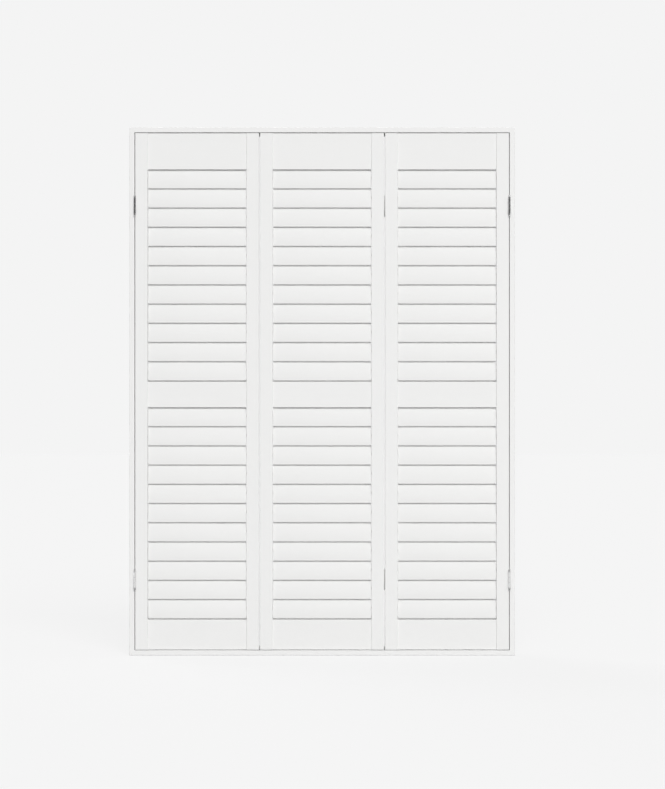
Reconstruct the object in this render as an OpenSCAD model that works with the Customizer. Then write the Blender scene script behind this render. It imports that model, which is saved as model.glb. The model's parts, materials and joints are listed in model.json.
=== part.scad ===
// Louvred shutters in a mitred frame: one panel hung on the left jamb, and a folding pair on the right
// X runs to the right, Y to the back and Z up, with the origin on the underside of the sill
// Y = 0 is the middle of the panels' thickness, where the louvres' axes lie

/* [Frame] */
// Overall width of the frame
frame_w = 1350; // [1200:10:1600]
// Overall height of the frame
frame_h = 1850; // [1700:10:1950]
// Width of the frame's front face
frame_face = 18; // [15:1:30]
// Depth of the frame from front to back
frame_depth = 46; // [43:1:60]
// Width of the stop behind the panels
stop_w = 12; // [10:1:20]
// Gap between the backs of the panels and the stop
stop_gap = 2; // [1.5:0.5:4]
// Radius of the rounded edges on frame, stiles and rails
edge_round = 1.5; // [0.5:0.25:2.5]

/* [Fixing] */
// Radius of the fixing holes through the jambs
fix_r = 2.5; // [2:0.25:3]
// Radius of the counterbore for a screw's head
fix_head_r = 4.8; // [4:0.2:5]
// Depth of that counterbore
fix_head_depth = 6; // [3:1:10]
// Height of the outer fixing holes from the ends of the frame
fix_outer = 150; // [80:10:250]
// Height of the inner fixing holes from the ends of the frame
fix_inner = 650; // [500:10:750]

/* [Panels] */
// Gap between the panels and the frame
frame_gap = 2; // [2:0.25:4]
// Gap between two panels
panel_gap = 3.5; // [3:0.5:5]
// Width of a stile
stile_w = 44; // [38:1:60]
// Thickness of a stile
stile_t = 28; // [26:1:30]
// Thickness of a rail
rail_t = 19; // [17:1:22]
// Height of the top rail
top_rail_h = 127.5; // [100:0.5:160]
// Height of the middle rail
mid_rail_h = 102; // [80:1:130]
// Height of the bottom rail
bottom_rail_h = 117; // [100:0.5:160]
// Length of a rail's tenon
tenon_l = 20; // [12:1:28]
// Thickness of a rail's tenon
tenon_t = 8; // [6:1:10]
// Shoulder above and below a tenon
tenon_shoulder = 18; // [16:1:24]
// Glue gap round a tenon and along a stop
glue_gap = 0.15; // [0.1:0.05:0.3]

/* [Louvres] */
// Louvres in each tier
louvres_per_tier = 11; // [8:1:11]
// Width of a louvre across its lens-shaped section
louvre_w = 76; // [70:1:82]
// Thickness of a louvre at its middle
louvre_t = 10; // [9:0.5:12]
// Radius of a louvre's long edges
louvre_edge_r = 3; // [2:0.25:3.5]
// Gap between closed louvres
louvre_gap = 2.4; // [1.6:0.2:2.8]
// Gap between a louvre's end and the stile
louvre_end_gap = 1.5; // [1.2:0.1:3]
// How far the first and last louvres lap the rails
rail_lap = 8.75; // [6:0.25:10]
// Room between a louvre's edge and the shoulder of the rail's rebate
rebate_room = 3.2; // [1.5:0.1:4]
// Radius of a louvre's pivot pins
pivot_r = 3; // [2.5:0.25:4]
// Depth of a pivot pin in the stile
pivot_depth = 10; // [8:1:14]
// Clearance round a pivot pin
pivot_clearance = 0.15; // [0.1:0.05:0.25]
// Radius of the collar behind a pivot pin
collar_r = 4.5; // [4:0.25:5]
// Thickness of that collar
collar_t = 1; // [0.5:0.1:1]

/* [Tilt rods] */
// Distance of a tilt rod from the stile beside it
rod_inset = 42; // [25:1:120]
// Width of a tilt rod
rod_w = 12; // [11:1:16]
// Thickness of a tilt rod
rod_t = 2.5; // [2:0.5:4]
// How far the eye's pivot stands beyond the louvre's rear edge
eye_lead = 4; // [3.5:0.25:6]
// How far the eye's pivot stands behind the louvre's mid-plane
eye_rise = 2; // [1.5:0.25:3]
// Radius of an eye and of the clevis round it
eye_r = 2.6; // [2.2:0.1:3]
// Thickness of an eye
eye_t = 2.4; // [2:0.2:3]
// Thickness of a clevis cheek
cheek_t = 2; // [1.5:0.25:2.5]
// Radius of the cross pin in an eye
cross_r = 1.2; // [1:0.1:1.5]
// Clearance round the cross pin and beside the eye
cross_clearance = 0.2; // [0.1:0.05:0.3]

/* [Hinges] */
// Length of a hinge's barrel
barrel_h = 54; // [42:1:70]
// Radius of a hinge's barrel
barrel_r = 4.5; // [4:0.25:5.5]
// Gap between a barrel and the faces beside it
barrel_gap = 0.5; // [0.4:0.1:1]
// Thickness of a hinge's leaf
leaf_t = 0.8; // [0.6:0.1:0.8]
// How far a leaf reaches into its gap
leaf_reach = 20; // [14:1:24]
// Radius of a hinge pin
hinge_pin_r = 2; // [1.5:0.1:2.5]
// Clearance of a hinge pin in its knuckles
hinge_clearance = 0.15; // [0.1:0.05:0.2]
// Gap between two knuckles
knuckle_gap = 0.4; // [0.3:0.1:0.8]
// Radius of the ball on the end of a hinge pin
tip_r = 3.4; // [2.5:0.1:4]
// Radius of the collar under that ball
tip_collar_r = 3.8; // [3:0.1:4.5]
// Thickness of that collar
tip_collar_t = 3; // [2:0.5:4]
// Length of the neck between collar and ball
tip_neck = 4; // [3.5:0.5:6]
// Height of the upper hinges' middle below the top of a panel
hinge_from_top = 255; // [150:0.5:400]
// Height of the lower hinges' middle above the bottom of a panel
hinge_from_bottom = 245; // [150:0.5:400]

/* [Catches] */
// Radius of a catch magnet
magnet_r = 4.5; // [3:0.5:4.5]
// Length of a catch magnet
magnet_l = 5; // [3:0.5:8]
// Clearance round a magnet in its hole
magnet_clearance = 0.1; // [0.05:0.05:0.2]
// Thickness of a catch plate
plate_t = 1.2; // [0.8:0.1:1.4]
// Width of a catch plate
plate_w = 20; // [12:1:30]
// Height of a catch plate
plate_h = 16; // [12:1:30]

/* [Hidden] */
$fn = 48;
// Flats in a louvre's face, and round its edge
face_steps = 16;
edge_steps = 8;
// Flats in a rounded edge
round_steps = 5;
// Length by which a cutting shape passes the face that it cuts
cut = 1;

// The three panels from left to right, with the number of each as its place in the row
panel_names = ["left", "middle", "right"];
left = 0;
middle = left + 1;
right = middle + 1;

// Frame section
stile_front = -stile_t / 2;
stile_back = stile_t / 2;
frame_front = stile_front;
frame_back = frame_front + frame_depth;
stop_front = stile_back + stop_gap;
section_w = frame_face + stop_w;
stop_mid_y = (stop_front + frame_back) / 2;
stop_mid_z = frame_face + stop_w / 2;

// Panels
panel_count = len(panel_names);
panel_w = (frame_w - 2 * (frame_face + frame_gap) - (panel_count - 1) * panel_gap) / panel_count;
panel_z0 = frame_face + frame_gap;
panel_z1 = frame_h - frame_face - frame_gap;
panel_h = panel_z1 - panel_z0;
opening_w = panel_w - 2 * stile_w;

// Tiers, each counted from its lower rail
tier_h = (panel_h - top_rail_h - mid_rail_h - bottom_rail_h) / 2;
lower_z = panel_z0 + bottom_rail_h;
upper_z = lower_z + tier_h + mid_rail_h;
edge_to_axis = louvre_w / 2 - rail_lap;
pitch = (tier_h - 2 * edge_to_axis) / (louvres_per_tier - 1);

// Louvre section: each face is an arc that runs smoothly into the rounds of both edges
edge_centre = louvre_w / 2 - louvre_edge_r;
half_t = louvre_t / 2;
face_r = (pow(edge_centre, 2) + pow(half_t, 2) - pow(louvre_edge_r, 2)) / (2 * (half_t - louvre_edge_r));
face_centre = face_r - half_t;
face_angle = atan2(edge_centre, face_centre);

// Closed louvres: faces a pitch apart clear each other by louvre_gap at this angle from upright
closed_reach = pow(face_r + louvre_gap / 2, 2) - pow(face_centre, 2) - pow(pitch / 2, 2);
closed_tilt = asin(max(0, closed_reach / (pitch * face_centre)));
louvre_l = opening_w - 2 * louvre_end_gap;
pivot_l = louvre_end_gap + pivot_depth;

// Rails: a tongue beside the lapping louvre
lap_u = edge_to_axis / cos(closed_tilt);
lap_half_t = sqrt(pow(face_r, 2) - pow(lap_u, 2)) - face_centre;
tongue_y = (lap_half_t - edge_to_axis * sin(closed_tilt)) / cos(closed_tilt) + louvre_gap;

// Tilt rods, at the eyes' place on closed louvres
eye_u = louvre_w / 2 + eye_lead;
eye_y = eye_u * sin(closed_tilt) + eye_rise * cos(closed_tilt);
eye_z = eye_u * cos(closed_tilt) - eye_rise * sin(closed_tilt);
rod_room = 1;
rod_front = max(eye_y + eye_r + rod_room, rail_t / 2 + rod_room);
clevis_w = eye_t + 2 * cross_clearance + 2 * cheek_t;
// A web narrower than the round it runs from
eye_web = 0.8 * 2 * eye_r;
// How far the eye's web reaches into the louvre
eye_root = 8;

// Rebates: in front over the last louvre's edge, and behind, taller, over the first louvre's eye and clevis
front_rebate_h = rail_lap + rebate_room;
back_rebate_h = max(front_rebate_h, eye_z + eye_r + rod_room - edge_to_axis);

// Hinges
knuckle_h = (barrel_h - 2 * knuckle_gap) / 3;
front_axis_y = frame_front - barrel_gap - barrel_r;
back_axis_y = stile_back + barrel_gap + barrel_r;
jamb_axis_x = frame_w / 2 - frame_face - frame_gap / 2;
fold_axis_x = panel_x(right) - panel_gap / 2;
hinge_zs = [panel_z0 + hinge_from_bottom, panel_z1 - hinge_from_top];

// Catches
plate_from_edge = 6;
catch_zs = [stop_mid_z, frame_h - stop_mid_z];

wood_white = "#f3f3f1";
steel = "#b9babb";
aluminium = "#d5d6d7";

side_nodes = ["stiles", "rails", "lower_louvres", "lower_tilt_rod", "upper_tilt_rod", "hinge_leaves"];

// Left edge of a panel, and of its opening between the stiles
function panel_x(p) = -frame_w / 2 + frame_face + frame_gap + p * (panel_w + panel_gap);
function opening_x(p) = panel_x(p) + stile_w;
// Height of a louvre's axis, counted from the top of its tier
function axis_z(tier_z, i) = tier_z + tier_h - edge_to_axis - (i - 1) * pitch;
// Middle of the eyes and of the tilt rod on a panel
function rod_x(p) = opening_x(p) + opening_w - rod_inset;
// Middle of the catch on the meeting edge of the left or the middle panel
function catch_x(p) = p == left
    ? panel_x(p) + panel_w - plate_from_edge - plate_w / 2
    : panel_x(p) + plate_from_edge + plate_w / 2;

// Points of an arc, anticlockwise between two angles, with or without those at its ends
function arc(centre, r, from, to, steps, ends = true) = [for (k = [ends ? 0 : 1 : ends ? steps : steps - 1])
    let (a = from + (to - from) * k / steps)
    centre + r * [cos(a), sin(a)]];
// Quarter round of a section's edge, from an angle
function quarter(centre, from) = arc(centre, edge_round, from, from + 90, round_steps);

// Section of a frame member: the face, and the stop glued to it behind the panels
// X runs from the outside, and Y from front to back
module frame_section() {
    r = edge_round;
    polygon(concat(
        quarter([r, frame_front + r], 180),
        quarter([frame_face - r, frame_front + r], 270),
        [[frame_face, frame_back], [0, frame_back]]
    ));
    translate([frame_face + glue_gap, stop_front])
        square([stop_w - glue_gap, frame_back - stop_front]);
}

// Frame member along Z, mitred at both ends
module frame_member(length) {
    intersection() {
        linear_extrude(length) frame_section();
        translate([0, frame_back + cut, 0])
            rotate([90, 0, 0])
                linear_extrude(frame_depth + 2 * cut)
                    polygon([[0, 0], [section_w, section_w], [section_w, length - section_w], [0, length]]);
    }
}

// Jamb on the left, with its fixing holes through the stop
module frame_left_jamb() {
    color(wood_white)
        difference() {
            translate([-frame_w / 2, 0, 0]) frame_member(frame_h);
            for (z = [fix_outer, fix_inner, frame_h - fix_inner, frame_h - fix_outer])
                translate([-frame_w / 2, stop_mid_y, z])
                    rotate([0, 90, 0])
                        fixing_hole();
        }
}

module frame_right_jamb() {
    mirror([1, 0, 0]) frame_left_jamb();
}

// Hole along Z from the outer face, with the counterbore at its inner end
module fixing_hole() {
    translate([0, 0, -cut]) cylinder(r = fix_r, h = section_w + 2 * cut);
    translate([0, 0, section_w - fix_head_depth]) cylinder(r = fix_head_r, h = fix_head_depth + cut);
}

module frame_head() {
    color(wood_white)
        difference() {
            translate([-frame_w / 2, 0, frame_h])
                rotate([0, 90, 0])
                    frame_member(frame_w);
            magnet_holes();
        }
}

module frame_sill() {
    color(wood_white)
        difference() {
            translate([-frame_w / 2, 0, 0])
                mirror([0, 0, 1])
                    rotate([0, 90, 0])
                        frame_member(frame_w);
            magnet_holes();
        }
}

// Places of the catches on the stop, behind the stiles where the left and the middle panel meet
module at_all_catches() {
    for (p = [left, middle])
        for (z = catch_zs)
            translate([catch_x(p), stop_front, z])
                rotate([-90, 0, 0])
                    children();
}

module magnet_holes() {
    at_all_catches()
        translate([0, 0, -cut])
            cylinder(r = magnet_r + magnet_clearance, h = magnet_l + cut);
}

module catch_magnets() {
    color(steel) at_all_catches() cylinder(r = magnet_r, h = magnet_l);
}

// Two steel plates on the back of a panel, facing the magnets
module catch_plates(p) {
    color(steel)
        for (z = [panel_z0, panel_z1 - plate_h])
            translate([catch_x(p) - plate_w / 2, stile_back, z])
                cube([plate_w, plate_t, plate_h]);
}

// Section of a stile, with its four long edges rounded
module stile_section() {
    r = edge_round;
    polygon(concat(
        quarter([r, stile_front + r], 180),
        quarter([stile_w - r, stile_front + r], 270),
        quarter([stile_w - r, stile_back - r], 0),
        quarter([r, stile_back - r], 90)
    ));
}

// Stile on the left of an opening, with the opening's edge at X = 0
module stile() {
    difference() {
        translate([-stile_w, 0, panel_z0]) linear_extrude(panel_h) stile_section();
        for (tier_z = [lower_z, upper_z])
            for (i = [1 : louvres_per_tier])
                translate([cut, 0, axis_z(tier_z, i)])
                    rotate([0, -90, 0])
                        cylinder(r = pivot_r + pivot_clearance, h = cut + pivot_depth + glue_gap);
        tenons(glue_gap);
    }
}

// The left ends' tenons of the three rails, or their mortises with room on every side
module tenons(room = 0) {
    for (rail = [
        [panel_z0, bottom_rail_h], [lower_z + tier_h, mid_rail_h], [upper_z + tier_h, top_rail_h]
    ])
        translate([-tenon_l - room, -tenon_t / 2 - room, rail[0] + tenon_shoulder - room])
            cube([tenon_l + room + cut, tenon_t + 2 * room, rail[1] - 2 * tenon_shoulder + 2 * room]);
}

module stiles(p) {
    color(wood_white) {
        translate([opening_x(p), 0, 0]) stile();
        translate([opening_x(p) + opening_w, 0, 0]) mirror([1, 0, 0]) stile();
    }
}

// Section of a rail in Y and Z, with its front edges rounded
// A back tongue above faces the louvre that laps the front, and a front tongue below the one behind
module rail_section(z0, z1, above, below) {
    r = edge_round;
    front = -rail_t / 2;
    back = rail_t / 2;
    shoulder = above ? z1 - front_rebate_h : z1;
    lower = below
        ? [[-tongue_y, z0], [-tongue_y, z0 + back_rebate_h], [back, z0 + back_rebate_h]]
        : [[back, z0]];
    upper = above
        ? [[back, z1], [tongue_y, z1], [tongue_y, shoulder]]
        : [[back, z1]];
    polygon(concat(
        quarter([front + r, z0 + r], 180),
        lower,
        upper,
        quarter([front + r, shoulder - r], 90)
    ));
}

module rail(z0, z1, above, below) {
    rotate([90, 0, 90]) linear_extrude(opening_w) rail_section(z0, z1, above, below);
}

module rails(p) {
    color(wood_white)
        translate([opening_x(p), 0, 0]) {
            rail(panel_z0, lower_z, true, false);
            rail(lower_z + tier_h, upper_z, true, true);
            rail(upper_z + tier_h, panel_z1, false, true);
            tenons();
            translate([opening_w, 0, 0]) mirror([1, 0, 0]) tenons();
        }
}

// Lens-shaped section of a louvre, with its width along X and its back towards Y
module louvre_section() {
    polygon(concat(
        arc([0, -face_centre], face_r, 90 - face_angle, 90 + face_angle, face_steps),
        arc([-edge_centre, 0], louvre_edge_r, 90 + face_angle, 270 - face_angle, edge_steps, false),
        arc([0, face_centre], face_r, 270 - face_angle, 270 + face_angle, face_steps),
        arc([edge_centre, 0], louvre_edge_r, face_angle - 90, 90 - face_angle, edge_steps, false)
    ));
}

// Louvre along X with its axis at the origin, its width along Y and its back towards Z
module louvre_flat(eye_x) {
    difference() {
        union() {
            rotate([90, 0, 90]) linear_extrude(louvre_l) louvre_section();
            for (end = [0, 1])
                translate([end * louvre_l, 0, 0])
                    rotate([0, end ? 90 : -90, 0])
                        louvre_pivot();
            translate([eye_x, 0, 0]) eye();
        }
        translate([eye_x - eye_t / 2 - cut, eye_u, eye_rise])
            rotate([0, 90, 0])
                cylinder(r = cross_r + cross_clearance, h = eye_t + 2 * cut);
    }
}

// Pivot pin with its collar, standing on a louvre's end
module louvre_pivot() {
    translate([0, 0, -cut]) cylinder(r = pivot_r, h = pivot_l + cut);
    translate([0, 0, -cut]) cylinder(r = collar_r, h = collar_t + cut);
}

// Eye on a louvre's rear edge, before its bore
module eye() {
    translate([-eye_t / 2, 0, 0])
        rotate([90, 0, 90])
            linear_extrude(eye_t) {
                translate([eye_u, eye_rise]) circle(r = eye_r);
                translate([eye_u, eye_rise])
                    rotate(atan2(eye_rise, eye_lead + eye_root))
                        translate([-eye_lead - eye_root, -eye_web / 2])
                            square([eye_lead + eye_root, eye_web]);
            }
}

// Closed louvre of a panel: its rear edge up, and leaning back from upright
module louvre(p, tier_z, i) {
    color(wood_white)
        translate([opening_x(p) + louvre_end_gap, 0, axis_z(tier_z, i)])
            rotate([90 - closed_tilt, 0, 0])
                mirror([0, 0, 1])
                    louvre_flat(opening_w - rod_inset - louvre_end_gap);
}

module lower_louvres(p) {
    for (i = [1 : louvres_per_tier])
        louvre(p, lower_z, i);
}

// Flat rod behind a tier, with a clevis and a cross pin at each louvre's eye
module tilt_rod(p, tier_z) {
    low = axis_z(tier_z, louvres_per_tier) + eye_z - eye_r;
    high = axis_z(tier_z, 1) + eye_z + eye_r;
    color(aluminium)
        translate([rod_x(p), 0, 0]) {
            translate([-rod_w / 2, rod_front, low]) cube([rod_w, rod_t, high - low]);
            for (i = [1 : louvres_per_tier])
                translate([0, eye_y, axis_z(tier_z, i) + eye_z]) clevis();
        }
}

// Two cheeks with a cross pin between them, about the eye's axis at the origin
module clevis() {
    reach = rod_front - eye_y + rod_t / 2;
    for (side = [0, 1])
        translate([side ? clevis_w / 2 - cheek_t : -clevis_w / 2, 0, 0])
            rotate([90, 0, 90])
                linear_extrude(cheek_t) {
                    circle(r = eye_r);
                    translate([0, -eye_web / 2]) square([reach, eye_web]);
                }
    translate([-clevis_w / 2 + cheek_t / 2, 0, 0])
        rotate([0, 90, 0])
            cylinder(r = cross_r, h = clevis_w - cheek_t);
}

// Leaf of a hinge about the pin's axis at the origin, lying on the face at X = gap / 2 and reaching to +Y
// The outer leaf has the two end knuckles, and the inner leaf the middle one
module hinge_leaf(gap, outer) {
    leaf_x = gap / 2 - leaf_t;
    inner_z = -knuckle_h / 2;
    step = knuckle_h + knuckle_gap;
    knuckles = outer ? [inner_z - step, inner_z + step] : [inner_z];
    from = barrel_r + knuckle_gap;
    difference() {
        union() {
            translate([leaf_x, from, -barrel_h / 2])
                cube([leaf_t, barrel_gap + barrel_r + leaf_reach - from, barrel_h]);
            for (z = knuckles) {
                translate([0, 0, z]) cylinder(r = barrel_r, h = knuckle_h);
                translate([leaf_x, 0, z]) cube([leaf_t, from + cut, knuckle_h]);
            }
        }
        translate([0, 0, -barrel_h / 2 - cut])
            cylinder(r = hinge_pin_r + hinge_clearance, h = barrel_h + 2 * cut);
    }
}

// Hinge pin with a collar, a neck and a ball at each end
module hinge_pin() {
    half = barrel_h / 2 + knuckle_gap;
    translate([0, 0, -half - tip_collar_t - tip_neck])
        cylinder(r = hinge_pin_r, h = 2 * (half + tip_collar_t + tip_neck));
    for (end = [0, 1])
        mirror([0, 0, end]) {
            translate([0, 0, half]) cylinder(r = tip_collar_r, h = tip_collar_t);
            translate([0, 0, half + tip_collar_t + tip_neck]) sphere(r = tip_r);
        }
}

// Hinges on the jambs, on their axes in front of the gaps
module at_jamb_hinges(side) {
    for (z = hinge_zs)
        translate([side * jamb_axis_x, front_axis_y, z])
            children();
}

// Hinges between the middle and the right panel, on their axes behind the gap and turned to reach forward
module at_fold_hinges() {
    for (z = hinge_zs)
        translate([fold_axis_x, back_axis_y, z])
            mirror([0, 1, 0])
                children();
}

// Leaves on the jambs, with the pins
module frame_hinges() {
    color(steel) {
        at_jamb_hinges(-1) mirror([1, 0, 0]) hinge_leaf(frame_gap, true);
        at_jamb_hinges(1) hinge_leaf(frame_gap, true);
        at_jamb_hinges(-1) hinge_pin();
        at_jamb_hinges(1) hinge_pin();
    }
}

// Leaves on a panel: the right panel also has the fold hinges' outer leaves, with their pins
module hinge_leaves(p) {
    color(steel) {
        if (p == left)
            at_jamb_hinges(-1) hinge_leaf(frame_gap, false);
        if (p == middle)
            at_fold_hinges() mirror([1, 0, 0]) hinge_leaf(panel_gap, false);
        if (p == right) {
            at_jamb_hinges(1) mirror([1, 0, 0]) hinge_leaf(frame_gap, false);
            at_fold_hinges() hinge_leaf(panel_gap, true);
            at_fold_hinges() hinge_pin();
        }
    }
}

frame_head();
frame_sill();
frame_left_jamb();
frame_right_jamb();
frame_hinges();
catch_magnets();
catch_plates(left);  // left_catch_plates
catch_plates(middle);  // middle_catch_plates
for (p = [left, middle, right]) {
    name = panel_names[p];
    stiles(p);
    rails(p);
    lower_louvres(p);
    tilt_rod(p, lower_z);
    tilt_rod(p, upper_z);
    hinge_leaves(p);
    for (i = [1 : louvres_per_tier])
        louvre(p, upper_z, i);
}
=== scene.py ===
import json
import math

import bpy
import numpy as np
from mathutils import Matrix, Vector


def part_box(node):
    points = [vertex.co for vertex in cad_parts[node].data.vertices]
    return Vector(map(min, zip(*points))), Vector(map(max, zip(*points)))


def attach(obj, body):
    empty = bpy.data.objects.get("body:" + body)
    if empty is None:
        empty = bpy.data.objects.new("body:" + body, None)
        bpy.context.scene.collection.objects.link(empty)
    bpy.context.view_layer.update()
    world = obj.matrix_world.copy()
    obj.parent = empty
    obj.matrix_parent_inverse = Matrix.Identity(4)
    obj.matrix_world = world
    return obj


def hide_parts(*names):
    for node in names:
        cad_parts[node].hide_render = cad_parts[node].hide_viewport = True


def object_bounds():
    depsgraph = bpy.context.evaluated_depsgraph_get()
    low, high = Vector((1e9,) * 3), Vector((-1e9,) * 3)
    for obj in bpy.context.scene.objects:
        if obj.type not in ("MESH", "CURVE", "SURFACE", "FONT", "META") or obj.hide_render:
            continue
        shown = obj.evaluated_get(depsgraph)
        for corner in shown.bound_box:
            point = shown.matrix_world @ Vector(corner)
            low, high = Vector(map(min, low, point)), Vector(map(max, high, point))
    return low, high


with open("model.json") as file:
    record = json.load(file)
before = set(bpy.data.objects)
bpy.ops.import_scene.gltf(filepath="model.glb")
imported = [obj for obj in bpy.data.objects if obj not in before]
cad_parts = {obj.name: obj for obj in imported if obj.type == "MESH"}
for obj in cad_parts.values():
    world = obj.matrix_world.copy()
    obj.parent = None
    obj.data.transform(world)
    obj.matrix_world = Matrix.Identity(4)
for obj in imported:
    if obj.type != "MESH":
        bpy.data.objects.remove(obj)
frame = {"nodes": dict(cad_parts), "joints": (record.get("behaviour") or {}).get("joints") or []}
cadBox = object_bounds()
nodes = frame["nodes"]
jointAt = {joint["name"]: np.array(joint["pos_m"]) for joint in frame["joints"]}
scene = bpy.context.scene
mm = 0.001
quarter = np.pi / 2
tiny = 1e-6    # keeps divisions off zero
panels = ("left", "middle", "right")
sharpAngle = math.radians(32)    # steeper edges stay crisp
print("frame loaded:", len(nodes), "nodes")


# Mesh helpers: a shape is (points, faces), with points in metres

asMade, onSide, facingBack = (0, 1, 2), (2, 0, 1), (0, 2, 1)    # a shape's own axes along X, Y and Z


def gridFaces(rows, columns, rowsClosed=False):
    # quads between neighbouring points of a grid whose columns run round a closed loop
    i, j = np.meshgrid(np.arange(rows if rowsClosed else rows - 1), np.arange(columns), indexing="ij")
    down, along = (i + 1) % rows, (j + 1) % columns
    quads = [i * columns + j, i * columns + along, down * columns + along, down * columns + j]
    return np.stack(quads, -1).reshape(-1, 4).tolist()


def outward(points, faces):
    # six times the volume is the sum of a . (b x c) over the triangles; a negative sum means inside out
    fans = np.array([(f[0], f[k], f[k + 1]) for f in faces for k in range(1, len(f) - 1)])
    a, b, c = points[fans[:, 0]], points[fans[:, 1]], points[fans[:, 2]]
    volume = np.einsum("ij,ij->", a - points[0], np.cross(b - points[0], c - points[0]))
    return points, faces if volume > 0 else [face[::-1] for face in faces]


def sweep(rings):
    # a closed outline carried through its stations, with one flat face at each end
    rows, columns = rings.shape[:2]
    last = (rows - 1) * columns
    faces = gridFaces(rows, columns)
    faces += [list(range(columns))[::-1], list(range(last, last + columns))]
    return outward(rings.reshape(-1, 3), faces)


def ringSolid(rings):
    # a closed outline carried round a closed path, so that the last station joins the first
    rows, columns = rings.shape[:2]
    return outward(rings.reshape(-1, 3), gridFaces(rows, columns, True))


def turnedRings(profile, sides):
    # each (height, radius) of the profile turned about Z: x = r cos a, y = r sin a, z = height
    height, radius = np.array(profile).T
    a = np.linspace(0, 2 * np.pi, sides, endpoint=False)
    x, y = np.outer(radius, np.cos(a)), np.outer(radius, np.sin(a))
    return np.stack([x, y, np.outer(height, np.ones(sides))], -1)


def endRounds(radius, length, steps):
    # stations of a round at each end: drawn in by r (1 - sin f) at r (1 - cos f) from that end
    f = np.linspace(0, quarter, steps)
    inset = radius * (1 - np.sin(f))
    depth = radius * (1 - np.cos(f))
    inset = np.concatenate([inset, inset[::-1]])
    depth = np.concatenate([depth, length - depth[::-1]])
    return inset[:, None], depth[:, None]


plateSteps = {"corner": 5, "bevel": 4}


def roundedPlate(halfWide, halfHigh, thick, corner, bevel):
    # the outline is four quarter arcs, drawn in at both faces by the rounds of the bevel
    steps = plateSteps["corner"]
    a = np.concatenate([np.linspace(0, quarter, steps) + k * quarter for k in range(4)])
    signX = np.repeat([1, -1, -1, 1], steps)
    signY = np.repeat([1, 1, -1, -1], steps)
    inset, depth = endRounds(bevel, thick, plateSteps["bevel"])
    x = signX * (halfWide - corner) + (corner - inset) * np.cos(a)
    y = signY * (halfHigh - corner) + (corner - inset) * np.sin(a)
    return sweep(np.stack([x, y, depth + 0 * x], -1))


def laid(shape, order, at, signs=(1, 1, 1)):
    # the shape with its axes in another order, mirrored where a sign is negative, and put at a place
    points, faces = shape
    return outward(points[:, order] * signs + at, faces)


def putObject(name, data):
    thing = bpy.data.objects.new(name, data)
    scene.collection.objects.link(thing)
    return thing


def putPiece(name, shapes, body, material, replaced):
    points, faces, start = [], [], 0
    for shapePoints, shapeFaces in shapes:
        points.append(shapePoints)
        faces += [[start + v for v in face] for face in shapeFaces]
        start += len(shapePoints)
    mesh = bpy.data.meshes.new(name)
    mesh.from_pydata(np.concatenate(points).tolist(), [], faces)
    mesh.materials.append(material)
    mesh.shade_smooth()
    mesh.set_sharp_from_angle(angle=sharpAngle)
    piece = putObject(name, mesh)
    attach(piece, body)
    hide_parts(*replaced)


# Node helpers

mixA, mixB, mixResult = 6, 7, 2    # the colour sockets of a Mix node


def newGroup(name, inputs, outputs):
    group = bpy.data.node_groups.new(name, "ShaderNodeTree")
    for way, sockets in (("INPUT", inputs), ("OUTPUT", outputs)):
        for label, kind in sockets:
            group.interface.new_socket(label, in_out=way, socket_type=kind)
    return group, group.nodes.new("NodeGroupInput"), group.nodes.new("NodeGroupOutput")


def addNode(tree, kind, settings=None, **values):
    node = tree.nodes.new(kind)
    for key, value in (settings or {}).items():
        setattr(node, key, value)
    for key, value in values.items():
        node.inputs[key.replace("_", " ")].default_value = value
    return node


def newMaterial(name):
    material = bpy.data.materials.new(name)
    material.use_nodes = True
    return material, material.node_tree, material.node_tree.nodes["Principled BSDF"]


# Finishes

pattern = {
    "streakDetail": 4.0, "streakRough": 0.55,
    "cloudScale": 5.0, "cloudDetail": 2.0, "cloudRough": 0.5,
    "stippleScale": 900, "stippleDetail": 2.0, "stippleRough": 0.5,
    "streakInTone": 0.4, "stippleInHeight": 0.35,
    "toneLow": 0.3, "toneHigh": 0.7,
}


def makeSurfaceGroup():
    # broad cloud, streaks along the stretch and fine stipple; all three change with Object coordinates alone
    number = "NodeSocketFloat"
    group, given, out = newGroup(
        "finishSurface",
        [("Stretch", "NodeSocketVector"), ("Rough Low", number), ("Rough High", number)],
        [("Tone", number), ("Roughness", number), ("Height", number)])
    link = group.links.new
    place = addNode(group, "ShaderNodeTexCoord")
    drawn = addNode(group, "ShaderNodeVectorMath", {"operation": "MULTIPLY"})
    link(place.outputs["Object"], drawn.inputs[0])
    link(given.outputs["Stretch"], drawn.inputs[1])
    streak = addNode(group, "ShaderNodeTexNoise", Scale=1.0,
                     Detail=pattern["streakDetail"], Roughness=pattern["streakRough"])
    link(drawn.outputs[0], streak.inputs["Vector"])
    cloud = addNode(group, "ShaderNodeTexNoise", Scale=pattern["cloudScale"],
                    Detail=pattern["cloudDetail"], Roughness=pattern["cloudRough"])
    link(place.outputs["Object"], cloud.inputs["Vector"])
    stipple = addNode(group, "ShaderNodeTexNoise", Scale=pattern["stippleScale"],
                      Detail=pattern["stippleDetail"], Roughness=pattern["stippleRough"])
    link(place.outputs["Object"], stipple.inputs["Vector"])
    tone = addNode(group, "ShaderNodeMix", {"data_type": "FLOAT"}, Factor=pattern["streakInTone"])
    link(cloud.outputs["Fac"], tone.inputs["A"])
    link(streak.outputs["Fac"], tone.inputs["B"])
    link(tone.outputs["Result"], out.inputs["Tone"])
    height = addNode(group, "ShaderNodeMix", {"data_type": "FLOAT"}, Factor=pattern["stippleInHeight"])
    link(streak.outputs["Fac"], height.inputs["A"])
    link(stipple.outputs["Fac"], height.inputs["B"])
    link(height.outputs["Result"], out.inputs["Height"])
    rough = addNode(group, "ShaderNodeMapRange", From_Min=pattern["toneLow"], From_Max=pattern["toneHigh"])
    link(tone.outputs["Result"], rough.inputs["Value"])
    link(given.outputs["Rough Low"], rough.inputs["To Min"])
    link(given.outputs["Rough High"], rough.inputs["To Max"])
    link(rough.outputs["Result"], out.inputs["Roughness"])
    return group


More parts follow.
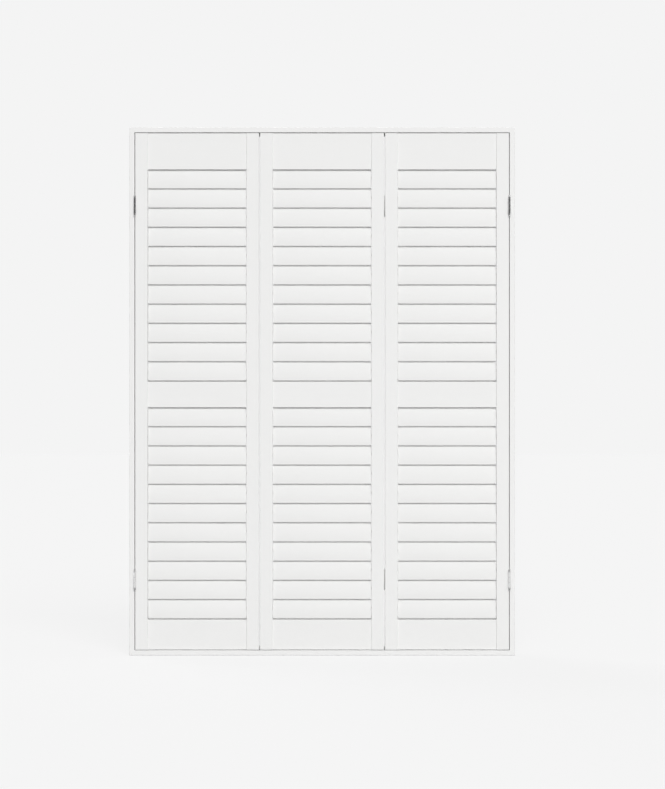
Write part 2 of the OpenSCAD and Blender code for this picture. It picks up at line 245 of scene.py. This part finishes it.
surfaceGroup = makeSurfaceGroup()


def finishMaterial(name, light, deep, rough, stretch, bump, metallic):
    material, tree, shader = newMaterial(name)
    link = tree.links.new
    surface = addNode(tree, "ShaderNodeGroup", {"node_tree": surfaceGroup},
                      Stretch=stretch, Rough_Low=rough[0], Rough_High=rough[1])
    colour = addNode(tree, "ShaderNodeMix", {"data_type": "RGBA"})
    colour.inputs[mixA].default_value = deep
    colour.inputs[mixB].default_value = light
    link(surface.outputs["Tone"], colour.inputs["Factor"])
    link(colour.outputs[mixResult], shader.inputs["Base Color"])
    link(surface.outputs["Roughness"], shader.inputs["Roughness"])
    relief = addNode(tree, "ShaderNodeBump", Strength=1.0, Distance=bump)
    link(surface.outputs["Height"], relief.inputs["Height"])
    link(relief.outputs["Normal"], shader.inputs["Normal"])
    shader.inputs["Metallic"].default_value = metallic
    return material


alongX, alongZ = (6, 160, 420), (420, 160, 6)    # brush marks and grain
paint = {"rough": (0.62, 0.72), "bump": 0.00012, "metallic": 0}
white = {**paint, "light": (0.852, 0.852, 0.846, 1), "deep": (0.826, 0.826, 0.818, 1)}
steel = {"rough": (0.06, 0.12), "stretch": (900, 900, 60), "bump": 0.00001, "metallic": 1}
finishes = {
    "paintAcross": {**white, "stretch": alongX},
    "paintUpright": {**white, "stretch": alongZ},
    # the louvres' paint is a slightly darker copy of the white: painted shade that evens out the extra light
    # their upturned faces catch from the key
    "louvrePaint": {**paint, "stretch": alongX,
                    "light": (0.822, 0.822, 0.816, 1), "deep": (0.797, 0.797, 0.789, 1)},
    "hingeSteel": {**steel, "light": (0.82, 0.82, 0.82, 1), "deep": (0.70, 0.70, 0.70, 1)},
    "pinSteel": {**steel, "light": (0.56, 0.56, 0.56, 1), "deep": (0.48, 0.48, 0.48, 1)},
    # the fold hinges get a paler, rougher copy of the hinge steel: painted light that lifts them out of the
    # shade of the gap between the panels
    "foldSteel": {**steel, "rough": (0.58, 0.70),
                  "light": (0.93, 0.93, 0.92, 1), "deep": (0.86, 0.86, 0.85, 1)},
    "rodAluminium": {**steel, "rough": (0.30, 0.42), "stretch": (1500, 1500, 12), "bump": 0.00002,
                     "light": (0.80, 0.80, 0.81, 1), "deep": (0.68, 0.68, 0.69, 1)},
    "magnetNickel": {**steel, "stretch": (300, 300, 300),
                     "light": (0.62, 0.62, 0.60, 1), "deep": (0.50, 0.50, 0.49, 1)},
}
materials = {name: finishMaterial(name, **values) for name, values in finishes.items()}

nodeFinish = {"frame_head": "paintAcross", "frame_sill": "paintAcross", "frame_left_jamb": "paintUpright",
              "frame_right_jamb": "paintUpright", "catch_magnets": "magnetNickel"}
for panel in panels:
    nodeFinish[panel + "_stiles"] = "paintUpright"
    nodeFinish[panel + "_rails"] = "paintAcross"
    nodeFinish[panel + "_lower_tilt_rod"] = "rodAluminium"
    nodeFinish[panel + "_upper_tilt_rod"] = "rodAluminium"
for nodeName, finishName in nodeFinish.items():
    nodes[nodeName].data.materials.clear()
    nodes[nodeName].data.materials.append(materials[finishName])
print("finishes made")


# Louvres: smooth lens-shaped blades with rounded ends, pivot pins with collars, and the eye for the tilt rod

blade = {
    "wide": 76 * mm, "thick": 10 * mm, "edgeRadius": 3 * mm, "gap": 2.4 * mm, "endRound": 0.9 * mm,
    "faceSteps": 24, "edgeSteps": 14, "endSteps": 5, "perTier": 11,
    "pinLong": 11.5 * mm, "pinRadius": 3 * mm, "pinEdge": 0.3 * mm, "pinSides": 24,
    "collarLong": 1 * mm, "collarRadius": 4.5 * mm,
    "eyeLead": 4 * mm, "eyeRise": 2 * mm, "eyeRadius": 2.6 * mm, "eyeThick": 2.4 * mm,
    "eyeRoot": 8 * mm, "eyeWeb": 2.08 * mm, "eyeBore": 1.4 * mm, "eyeBevel": 0.3 * mm, "eyePoints": 40,
}
pitch = jointAt["left_tilt_1"][2] - jointAt["left_tilt_2"][2]

# each face is an arc about a centre on the far side, tangent to the rounds of both edges
edgeCentre = blade["wide"] / 2 - blade["edgeRadius"]
halfThick = blade["thick"] / 2
faceRadius = ((edgeCentre ** 2 + halfThick ** 2 - blade["edgeRadius"] ** 2)
              / (2 * (halfThick - blade["edgeRadius"])))
faceCentre = faceRadius - halfThick
faceAngle = math.atan2(edgeCentre, faceCentre)

# faces a pitch apart clear each other by the gap at this angle from upright
clearRadius = faceRadius + blade["gap"] / 2
tilt = math.asin((clearRadius ** 2 - faceCentre ** 2 - (pitch / 2) ** 2) / (pitch * faceCentre))


def bladeShape(length):
    # the arc's centre plus (radius - inset) (cos t, sin t), t being the normal's angle round the section
    lean = np.linspace(-faceAngle, faceAngle, blade["faceSteps"] + 1)
    bend = np.linspace(faceAngle, np.pi - faceAngle, blade["edgeSteps"] + 1)[1:-1]
    t = np.concatenate([quarter + lean, quarter + bend, 3 * quarter + lean, 3 * quarter + bend])
    counts = (len(lean), len(bend), len(lean), len(bend))
    radius = np.repeat((faceRadius, blade["edgeRadius"], faceRadius, blade["edgeRadius"]), counts)
    centreAcross = np.repeat((0, -edgeCentre, 0, edgeCentre), counts)
    centreThrough = np.repeat((-faceCentre, 0, faceCentre, 0), counts)
    inset, x = endRounds(blade["endRound"], length, blade["endSteps"])
    across = centreAcross + (radius - inset) * np.cos(t)
    through = centreThrough + (radius - inset) * np.sin(t)
    return sweep(np.stack([x + 0 * across, across, through], -1))


def pinShape(length, side):
    # a turned pin laid along X from the blade's end, with its collar first
    collar, collarRadius = blade["collarLong"], blade["collarRadius"]
    long, radius, edge = blade["pinLong"], blade["pinRadius"], blade["pinEdge"]
    profile = [(-edge, collarRadius), (collar - edge, collarRadius), (collar, collarRadius - edge),
               (collar, radius), (long - edge, radius), (long, radius - edge)]
    start = length if side > 0 else 0
    return laid(sweep(turnedRings(profile, blade["pinSides"])), onSide, (start, 0, 0), (side, 1, 1))


def eyeShape(eyeX):
    # outline r(a) about the bore: the eye's radius, or the straight web towards the blade near its direction
    a = np.linspace(-np.pi, np.pi, blade["eyePoints"], endpoint=False)
    reach = blade["eyeLead"] + blade["eyeRoot"]
    web = np.minimum(reach / np.maximum(np.cos(a), tiny),
                     blade["eyeWeb"] / np.maximum(np.abs(np.sin(a)), tiny))
    outer = np.where(np.abs(a) < math.asin(blade["eyeWeb"] / blade["eyeRadius"]), web, blade["eyeRadius"])
    bevel, half = blade["eyeBevel"], blade["eyeThick"] / 2
    bore = blade["eyeBore"] + 0 * a
    radii = np.stack([outer - bevel, outer, outer, outer - bevel, bore + bevel, bore, bore, bore + bevel])
    x = np.array([-half, bevel - half, half - bevel, half, half, half - bevel, bevel - half, -half])[:, None]
    turn = a + np.pi + math.atan2(blade["eyeRise"], reach)
    across = blade["wide"] / 2 + blade["eyeLead"] + radii * np.cos(turn)
    through = blade["eyeRise"] + radii * np.sin(turn)
    return ringSolid(np.stack([eyeX + x + 0 * across, across, through], -1))


def louvreShapes(panel, axisZ):
    low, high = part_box(panel + "_louvre_1")
    rodLow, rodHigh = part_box(panel + "_upper_tilt_rod")
    left = low.x + blade["pinLong"]
    length = high.x - blade["pinLong"] - left
    shapes = [bladeShape(length), pinShape(length, -1), pinShape(length, 1),
              eyeShape((rodLow.x + rodHigh.x) / 2 - left)]

    def stand(points):
        # the rear edge up, leaning back by the tilt
        x, across, through = points.T
        y = across * math.sin(tilt) + through * math.cos(tilt)
        z = across * math.cos(tilt) - through * math.sin(tilt)
        return np.stack([left + x, y, axisZ + z], -1)

    return [outward(stand(points), faces) for points, faces in shapes]


for panel in panels:
    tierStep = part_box(panel + "_louvre_1")[1].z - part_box(panel + "_lower_louvres")[1].z
    lowerShapes = []
    for i in range(1, blade["perTier"] + 1):
        axisZ = jointAt[f"{panel}_tilt_{i}"][2]
        body = f"{panel}_louvre_{i}"
        # each louvre wears the darker copy of the white paint, which is painted shade
        putPiece(f"{panel}Louvre{i}", louvreShapes(panel, axisZ), body,
                 materials["louvrePaint"], [body])
        lowerShapes += louvreShapes(panel, axisZ - tierStep)
    putPiece(panel + "LowerLouvres", lowerShapes, panel + "_panel",
             materials["louvrePaint"], [panel + "_lower_louvres"])
print("louvres made")


# Hinges: leaves with rolled knuckles and countersunk screws, and pins with turned tips

hinge = {
    "barrelHigh": 54 * mm, "barrelRadius": 4.5 * mm, "barrelGap": 0.5 * mm, "sides": 40,
    "knuckleGap": 0.4 * mm, "knuckleEdge": 0.35 * mm, "boreRadius": 2.15 * mm,
    "frameGap": 2 * mm, "foldGap": 3.5 * mm,
    "leafThick": 0.8 * mm, "leafReach": 20 * mm, "leafCorner": 2 * mm, "leafBevel": 0.2 * mm,
    "webCorner": 0.3 * mm, "webBevel": 0.1 * mm,
    "screwRows": (-17 * mm, 0, 17 * mm), "screwStagger": (0.62, 0.36, 0.62),
    "pinRadius": 2 * mm, "pinEdge": 0.4 * mm, "collarRadius": 3.8 * mm, "collarHigh": 3 * mm,
    "neckHigh": 4 * mm, "ballRadius": 3.4 * mm, "ballSteps": 14, "ballTip": 0.03,
}
screw = {
    "radius": 2.7 * mm, "proud": 0.08 * mm, "deep": 0.55 * mm, "rings": 12, "sides": 32, "firstRing": 0.02,
    "crossHalf": 0.42 * mm, "crossReach": 1.7 * mm, "crossSlope": 1.6, "footShare": 0.8, "footDepth": 1.3,
}


def screwShape():
    # a polar grid: height = dome (1 - (r/R)^2), less the cross cut where |x| or |y| is small inside its reach
    r = np.linspace(screw["firstRing"], 1, screw["rings"]) * screw["radius"]
    a = np.linspace(0, 2 * np.pi, screw["sides"], endpoint=False)
    x, y = np.outer(r, np.cos(a)), np.outer(r, np.sin(a))
    dome = screw["proud"] * (1 - (x ** 2 + y ** 2) / screw["radius"] ** 2)
    near = np.minimum(np.abs(x), np.abs(y))
    inside = np.hypot(x, y) < screw["crossReach"]
    cut = screw["deep"] * np.clip(screw["crossSlope"] - near / screw["crossHalf"], 0, 1) * inside
    top = np.stack([x, y, dome - cut], -1)
    footX, footY = x[-1:] * screw["footShare"], y[-1:] * screw["footShare"]
    base = np.stack([footX, footY, 0 * footX - screw["deep"] * screw["footDepth"]], -1)
    return sweep(np.concatenate([top, base]))


def leafShapes(space, outer):
    # in the hinge's own place: axis on Z, the leaf on the face at +X, reaching to +Y
    high, radius, gap = hinge["barrelHigh"], hinge["barrelRadius"], hinge["knuckleGap"]
    thick, edge, bore = hinge["leafThick"], hinge["knuckleEdge"], hinge["boreRadius"]
    leafFrom = space / 2 - thick
    start = radius + gap
    end = hinge["barrelGap"] + radius + hinge["leafReach"]
    plate = roundedPlate((end - start) / 2, high / 2, thick, hinge["leafCorner"], hinge["leafBevel"])
    shapes = [laid(plate, onSide, (leafFrom, (start + end) / 2, 0))]
    knuckleHigh = (high - 2 * gap) / 3
    step, half = knuckleHigh + gap, knuckleHigh / 2
    section = [(-half, bore), (-half, radius - edge), (edge - half, radius), (half - edge, radius),
               (half, radius - edge), (half, bore)]
    knuckle = ringSolid(turnedRings(section, hinge["sides"]))
    webFrom, webTo = (bore + radius) / 2, start + gap    # from inside the knuckle's wall into the plate
    web = roundedPlate((webTo - webFrom) / 2, half, thick, hinge["webCorner"], hinge["webBevel"])
    for at in ((-step, step) if outer else (0,)):
        shapes.append(laid(knuckle, asMade, (0, 0, at)))
        shapes.append(laid(web, onSide, (leafFrom, (webFrom + webTo) / 2, at)))
    for z, share in zip(hinge["screwRows"], hinge["screwStagger"]):
        y = start + share * (end - start)
        shapes.append(laid(screwShape(), onSide, (leafFrom, y, z), (-1, 1, 1)))
    return shapes


def hingePinShape():
    # half profile: collar, neck, then the ball as r sin a at height + r cos a, mirrored to the lower end
    pin, collar, edge = hinge["pinRadius"], hinge["collarRadius"], hinge["pinEdge"]
    half = hinge["barrelHigh"] / 2 + hinge["knuckleGap"]
    collarTop = half + hinge["collarHigh"]
    ballAt, ball = collarTop + hinge["neckHigh"], hinge["ballRadius"]
    turns = np.linspace(math.pi - math.asin(pin / ball), hinge["ballTip"], hinge["ballSteps"])
    upper = [(0, pin), (half, pin), (half, collar - edge), (half + edge, collar),
             (collarTop - edge, collar), (collarTop, collar - edge), (collarTop, pin)]
    upper += [(ballAt + ball * math.cos(a), ball * math.sin(a)) for a in turns]
    lower = [(-height, radius) for height, radius in upper[:0:-1]]
    return sweep(turnedRings(lower + upper, hinge["sides"]))


leafLow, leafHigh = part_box("left_hinge_leaves")
hingeHeights = (leafLow.z + hinge["barrelHigh"] / 2, leafHigh.z - hinge["barrelHigh"] / 2)
leftAxis, rightAxis, foldAxis = jointAt["left_swing"], jointAt["right_swing"], jointAt["middle_fold"]
# each part is its shapes, its axis, and the signs that mirror it in X and Y
hingePieces = {
    "frameHinges": {"node": "frame_hinges", "body": "frame", "finish": "hingeSteel",
                    "parts": [(leafShapes(hinge["frameGap"], True), leftAxis, -1, 1),
                              (leafShapes(hinge["frameGap"], True), rightAxis, 1, 1)]},
    "hingePins": {"node": "frame_hinges", "body": "frame", "finish": "pinSteel",
                  "parts": [([hingePinShape()], leftAxis, 1, 1), ([hingePinShape()], rightAxis, 1, 1)]},
    "leftHinges": {"node": "left_hinge_leaves", "body": "left_panel", "finish": "hingeSteel",
                   "parts": [(leafShapes(hinge["frameGap"], False), leftAxis, 1, 1)]},
    # the fold hinges wear the paler copy of the steel, which is painted light
    "middleHinges": {"node": "middle_hinge_leaves", "body": "middle_panel", "finish": "foldSteel",
                     "parts": [(leafShapes(hinge["foldGap"], False), foldAxis, -1, -1)]},
    "rightHinges": {"node": "right_hinge_leaves", "body": "right_panel", "finish": "hingeSteel",
                    "parts": [(leafShapes(hinge["frameGap"], False), rightAxis, -1, 1)]},
    "foldHinges": {"node": "right_hinge_leaves", "body": "right_panel", "finish": "foldSteel",
                   "parts": [(leafShapes(hinge["foldGap"], True), foldAxis, 1, -1),
                             ([hingePinShape()], foldAxis, 1, 1)]},
}
for name, made in hingePieces.items():
    shapes = []
    for z in hingeHeights:
        for part, axis, signX, signY in made["parts"]:
            shapes += [laid(shape, asMade, (axis[0], axis[1], z), (signX, signY, 1)) for shape in part]
    putPiece(name, shapes, made["body"], materials[made["finish"]], [made["node"]])
print("hinges made")


# Catch plates: rounded steel plates with two screws each

catchPlate = {"high": 16 * mm, "corner": 2 * mm, "bevel": 0.3 * mm, "screwAt": 0.55}

for panel in ("left", "middle"):
    node = panel + "_catch_plates"
    low, high = (np.array(corner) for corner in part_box(node))
    tall = catchPlate["high"]
    wide, thick = (high - low)[0], (high - low)[1]
    middleX = (low[0] + high[0]) / 2
    shapes = []
    for z in (low[2] + tall / 2, high[2] - tall / 2):
        plate = roundedPlate(wide / 2, tall / 2, thick, catchPlate["corner"], catchPlate["bevel"])
        shapes.append(laid(plate, facingBack, (middleX, low[1], z)))
        for side in (-1, 1):
            screwX = middleX + side * catchPlate["screwAt"] * wide / 2
            shapes.append(laid(screwShape(), facingBack, (screwX, high[1], z)))
    putPiece(panel + "CatchPlates", shapes, panel + "_panel", materials["hingeSteel"], [node])
print("catches made")


# Studio: a pale floor and backdrop, a soft key from the front right, and a camera straight in front

photo = {"wide": 665, "high": 789, "frameLeft": 129.4, "frameRight": 514.8, "frameBottom": 655.5}    # pixels
studio = {
    "cameraAway": 12, "sensor": 36,
    "pale": (0.905, 0.905, 0.905, 1), "skyTone": (1, 1, 1, 1), "skyStrength": 0.45,
    "floorHalf": 40, "floorGlow": (0.926, 0.926, 0.926, 1), "floorSeenGlow": 0.8,
    "floorBounce": (0.3, 0.3, 0.3, 1),
    "fillAt": (1.9, -1.6, 1.0), "fillSize": 1.4, "fillPower": 2.4,
    "cardRadius": 7, "cardLow": 1.4, "cardHigh": 5, "cardPoints": 25,
    "cardTone": (0.22, 0.22, 0.22, 1), "cardRough": 0.9,
}
suns = {
    "key": {"strength": 2.19, "angle": 30, "height": 29, "azimuth": 6},
    "back": {"strength": 1.1, "angle": 40, "height": 27, "azimuth": 215},
}
frameWide = cadBox[1].x - cadBox[0].x
perPixel = frameWide / (photo["frameRight"] - photo["frameLeft"])
cameraX = (photo["wide"] / 2 - (photo["frameLeft"] + photo["frameRight"]) / 2) * perPixel
cameraZ = (photo["frameBottom"] - photo["high"] / 2) * perPixel
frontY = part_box("frame_head")[0].y

camera = putObject("camera", bpy.data.cameras.new("camera"))
camera.data.sensor_width = studio["sensor"]
camera.data.lens = studio["sensor"] * studio["cameraAway"] / (perPixel * photo["high"])
camera.location = (cameraX, frontY - studio["cameraAway"], cameraZ)
camera.rotation_euler = (quarter, 0, 0)
scene.camera = camera

for name, values in suns.items():
    sun = putObject(name, bpy.data.lights.new(name, "SUN"))
    sun.data.energy = values["strength"]
    sun.data.angle = math.radians(values["angle"])
    sun.rotation_euler = (math.radians(90 - values["height"]), 0, math.radians(values["azimuth"]))

fill = putObject("fill", bpy.data.lights.new("fill", "AREA"))
fill.data.energy = studio["fillPower"]
fill.data.size = studio["fillSize"]
fill.location = studio["fillAt"]
fill.rotation_euler = (quarter, 0, math.atan2(studio["fillAt"][0], -studio["fillAt"][1]))
fill.visible_glossy = False


def seenMask(tree):
    # 1 for what the camera sees, also in metal and through glass
    path = addNode(tree, "ShaderNodeLightPath")
    first = addNode(tree, "ShaderNodeMath", {"operation": "MAXIMUM"})
    second = addNode(tree, "ShaderNodeMath", {"operation": "MAXIMUM"})
    tree.links.new(path.outputs["Is Camera Ray"], first.inputs[0])
    tree.links.new(path.outputs["Is Glossy Ray"], first.inputs[1])
    tree.links.new(first.outputs[0], second.inputs[0])
    tree.links.new(path.outputs["Is Transmission Ray"], second.inputs[1])
    return second.outputs[0]


def mixShaders(tree, factor, first, second):
    mix = addNode(tree, "ShaderNodeMixShader")
    tree.links.new(factor, mix.inputs[0])
    tree.links.new(first.outputs[0], mix.inputs[1])
    tree.links.new(second.outputs[0], mix.inputs[2])
    return mix.outputs[0]


world = bpy.data.worlds.new("studio")
world.use_nodes = True
scene.world = world
tree = world.node_tree
tree.nodes.clear()
lit = addNode(tree, "ShaderNodeBackground", Color=studio["skyTone"], Strength=studio["skyStrength"])
shown = addNode(tree, "ShaderNodeBackground", Color=studio["pale"], Strength=1.0)
out = addNode(tree, "ShaderNodeOutputWorld")
tree.links.new(mixShaders(tree, seenMask(tree), lit, shown), out.inputs["Surface"])

# the floor mostly glows where it is seen, and sends less light up than it shows
floorMaterial, tree, shader = newMaterial("paleFloor")
tree.nodes.remove(shader)
bounce = addNode(tree, "ShaderNodeBsdfDiffuse", Color=studio["floorBounce"])
shade = addNode(tree, "ShaderNodeBsdfDiffuse", Color=studio["pale"])
glow = addNode(tree, "ShaderNodeEmission", Color=studio["floorGlow"], Strength=1.0)
seen = addNode(tree, "ShaderNodeMixShader", Fac=studio["floorSeenGlow"])
tree.links.new(shade.outputs[0], seen.inputs[1])
tree.links.new(glow.outputs[0], seen.inputs[2])
surface = tree.nodes["Material Output"].inputs["Surface"]
tree.links.new(mixShaders(tree, seenMask(tree), bounce, seen), surface)

half = studio["floorHalf"]
corners = [(-half, -half, 0), (half, -half, 0), (half, half, 0), (-half, half, 0)]
floorMesh = bpy.data.meshes.new("floor")
floorMesh.from_pydata(corners, [], [(0, 1, 2, 3)])
floorMesh.materials.append(floorMaterial)
floor = putObject("floor", floorMesh)

# a dark card, a half circle in front above the camera, that only shows as a reflection in the metal
a = np.linspace(np.pi, 2 * np.pi, studio["cardPoints"])
cardX, cardY = studio["cardRadius"] * np.cos(a), studio["cardRadius"] * np.sin(a)
rows = [np.stack([cardX, cardY, 0 * a + z], -1) for z in (studio["cardLow"], studio["cardHigh"])]
cardFaces = [(k, k + 1, len(a) + k + 1, len(a) + k) for k in range(len(a) - 1)]
cardMaterial, _, shader = newMaterial("darkCard")
shader.inputs["Base Color"].default_value = studio["cardTone"]
shader.inputs["Roughness"].default_value = studio["cardRough"]
cardMesh = bpy.data.meshes.new("darkCard")
cardMesh.from_pydata(np.concatenate(rows).tolist(), [], cardFaces)
cardMesh.materials.append(cardMaterial)
card = putObject("darkCard", cardMesh)
card.visible_camera = False
card.visible_diffuse = False
card.visible_shadow = False
card.visible_transmission = False
scene.view_settings.view_transform = "Standard"
print("studio made")
